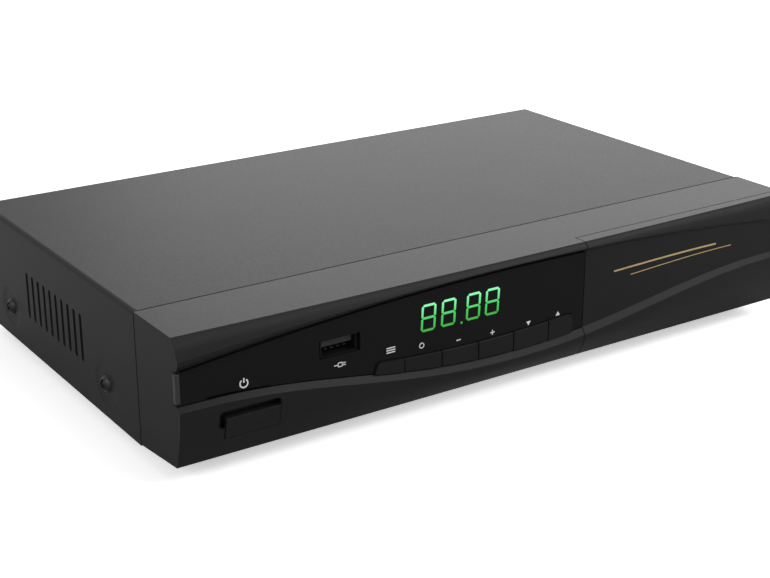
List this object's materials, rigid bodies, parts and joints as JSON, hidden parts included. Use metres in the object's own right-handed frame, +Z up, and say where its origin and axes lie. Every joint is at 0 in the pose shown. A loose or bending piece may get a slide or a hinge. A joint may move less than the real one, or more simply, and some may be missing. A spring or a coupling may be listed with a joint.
{
  "type": "satellite tv receiver",
  "caption": "Low steel-cased satellite receiver with a moulded front, smoked display window, front keys, USB port and a drop-down card flap.",
  "frame": {"origin": "middle of the footprint, on the surface that the feet stand on", "axes": "+X to the right seen from the front, +Y towards the rear sockets, +Z up"},
  "size_m": [0.2632, 0.1718, 0.0498],
  "materials": {
    "cover_paint": "fine textured powder coat, satin",
    "tray_steel": "painted sheet steel",
    "front_plastic": "fine matte moulded plastic",
    "window_plastic": "smoked, dark, satin",
    "key_plastic": "satin moulded plastic",
    "black_plastic": "moulded",
    "plunger_plastic": "moulded",
    "rubber": "matte rubber",
    "black_screw": "black oxide",
    "plated_steel": "zinc plated",
    "jack_metal": "plated",
    "circuit_board": "solder mask",
    "heat_sink_metal": "extruded",
    "capacitor_sleeve": "sleeved can",
    "transformer_core": "ferrite with tape",
    "fuse_glass": "glass tube in clips",
    "wire_sleeve": "insulated wire and plugs"
  },
  "bodies": {
    "chassis": {"base_tray": "tray_steel", "bezel_screws": "plated_steel", "board_capacitors": "capacitor_sleeve", "board_screws": "plated_steel", "board_standoffs": "plated_steel", "card_reader": "black_plastic", "cover_screws": "black_screw", "display_window": "window_plastic", "eject_guide": "black_plastic", "f_connector_nuts": "plated_steel", "f_connectors": "plated_steel", "foot_screws": "plated_steel", "front_bezel": "front_plastic", "front_board": "circuit_board", "front_usb_shell": "plated_steel", "front_usb_tongue": "black_plastic", "hdmi_socket": "plated_steel", "heat_sink": "heat_sink_metal", "jack_barrels": "jack_metal", "jack_block": "black_plastic", "lan_socket": "black_plastic", "led_display": "black_plastic", "main_board": "circuit_board", "main_processor": "black_plastic", "mains_capacitor": "capacitor_sleeve", "mains_fuse": "fuse_glass", "mains_inlet": "black_plastic", "mains_inlet_pins": "plated_steel", "mains_switch_housing": "black_plastic", "memory_chips": "black_plastic", "module_cage": "plated_steel", "module_header": "black_plastic", "rear_panel": "tray_steel", "remote_eye": "black_plastic", "ribbon_cable": "wire_sleeve", "rubber_feet": "rubber", "scart_socket": "black_plastic", "supply_board": "circuit_board", "switch_housings": "black_plastic", "top_cover": "cover_paint", "transformer": "transformer_core", "tuner_can": "plated_steel", "wiring_harness": "wire_sleeve"},
    "flap": {"card_flap": "front_plastic"},
    "power_key": {"power_button": "key_plastic", "power_plunger": "plunger_plastic"},
    "eject": {"eject_button": "black_plastic"},
    "rocker": {"mains_rocker": "black_plastic"},
    "menu": {"menu_key": "key_plastic", "menu_plunger": "plunger_plastic"},
    "ok": {"ok_key": "key_plastic", "ok_plunger": "plunger_plastic"},
    "volume_down": {"volume_down_key": "key_plastic", "volume_down_plunger": "plunger_plastic"},
    "volume_up": {"volume_up_key": "key_plastic", "volume_up_plunger": "plunger_plastic"},
    "channel_down": {"channel_down_key": "key_plastic", "channel_down_plunger": "plunger_plastic"},
    "channel_up": {"channel_up_key": "key_plastic", "channel_up_plunger": "plunger_plastic"}
  },
  "joints": [
    {"name": "flap_hinge", "type": "hinge", "parent": "chassis", "child": "flap", "pos_m": [0.0792, -0.07612, 0.01138], "axis": [1, 0, 0], "range_deg": [0, 90]},
    {"name": "power_press", "type": "slide", "parent": "chassis", "child": "power_key", "axis": [0, 1, 0], "range_m": [0, 0.001], "stiffness_N_per_m": 1500},
    {"name": "menu_press", "type": "slide", "parent": "chassis", "child": "menu", "axis": [0, 1, 0], "range_m": [0, 0.0005], "stiffness_N_per_m": 2200},
    {"name": "ok_press", "type": "slide", "parent": "chassis", "child": "ok", "axis": [0, 1, 0], "range_m": [0, 0.0005], "stiffness_N_per_m": 2200},
    {"name": "volume_down_press", "type": "slide", "parent": "chassis", "child": "volume_down", "axis": [0, 1, 0], "range_m": [0, 0.0005], "stiffness_N_per_m": 2200},
    {"name": "volume_up_press", "type": "slide", "parent": "chassis", "child": "volume_up", "axis": [0, 1, 0], "range_m": [0, 0.0005], "stiffness_N_per_m": 2200},
    {"name": "channel_down_press", "type": "slide", "parent": "chassis", "child": "channel_down", "axis": [0, 1, 0], "range_m": [0, 0.0005], "stiffness_N_per_m": 2200},
    {"name": "channel_up_press", "type": "slide", "parent": "chassis", "child": "channel_up", "axis": [0, 1, 0], "range_m": [0, 0.0005], "stiffness_N_per_m": 2200},
    {"name": "eject_press", "type": "slide", "parent": "chassis", "child": "eject", "axis": [0, 1, 0], "range_m": [0, 0.0035], "stiffness_N_per_m": 300},
    {"name": "rocker_hinge", "type": "hinge", "parent": "chassis", "child": "rocker", "pos_m": [-0.113, 0.07287, 0.02488], "axis": [1, 0, 0], "range_deg": [0, 20]}
  ]
}
